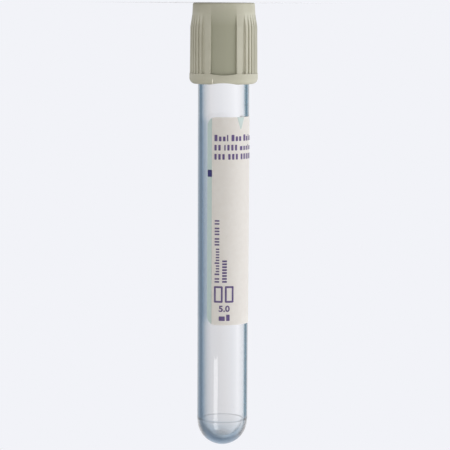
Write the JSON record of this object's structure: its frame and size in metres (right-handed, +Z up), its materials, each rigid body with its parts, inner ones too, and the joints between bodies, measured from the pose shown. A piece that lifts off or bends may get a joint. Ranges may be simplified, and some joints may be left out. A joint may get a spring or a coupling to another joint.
{
  "type": "blood collection tube",
  "caption": "Round-bottomed clear blood collection tube stood upside down on its ribbed olive-grey closure, with a rubber stopper, a wrap-round label and a dried additive.",
  "frame": {"origin": "on the tube's axis in the top face of the closure, which is the ground the tube stands on upside down", "axes": "+Z runs up the axis from the closure to the round end, -Y is the front, and the label's free window is on the +X side"},
  "size_m": [0.0164, 0.0164, 0.1065],
  "materials": {
    "clear_plastic": "clear, glossy moulded PET",
    "label_film": "satin printed film",
    "additive_powder": "dried matt powder",
    "stopper_rubber": "matt grey bromobutyl rubber",
    "shield_plastic": "satin olive-grey moulded polyolefin"
  },
  "bodies": {
    "closure": {"shield": "shield_plastic", "stopper": "stopper_rubber"},
    "tube": {"tube": "clear_plastic", "label": "label_film", "additive": "additive_powder"}
  },
  "joints": [
    {"name": "closure_pull", "type": "slide", "parent": "closure", "child": "tube", "axis": [0, 0, 1], "range_m": [0, 0.02]}
  ]
}
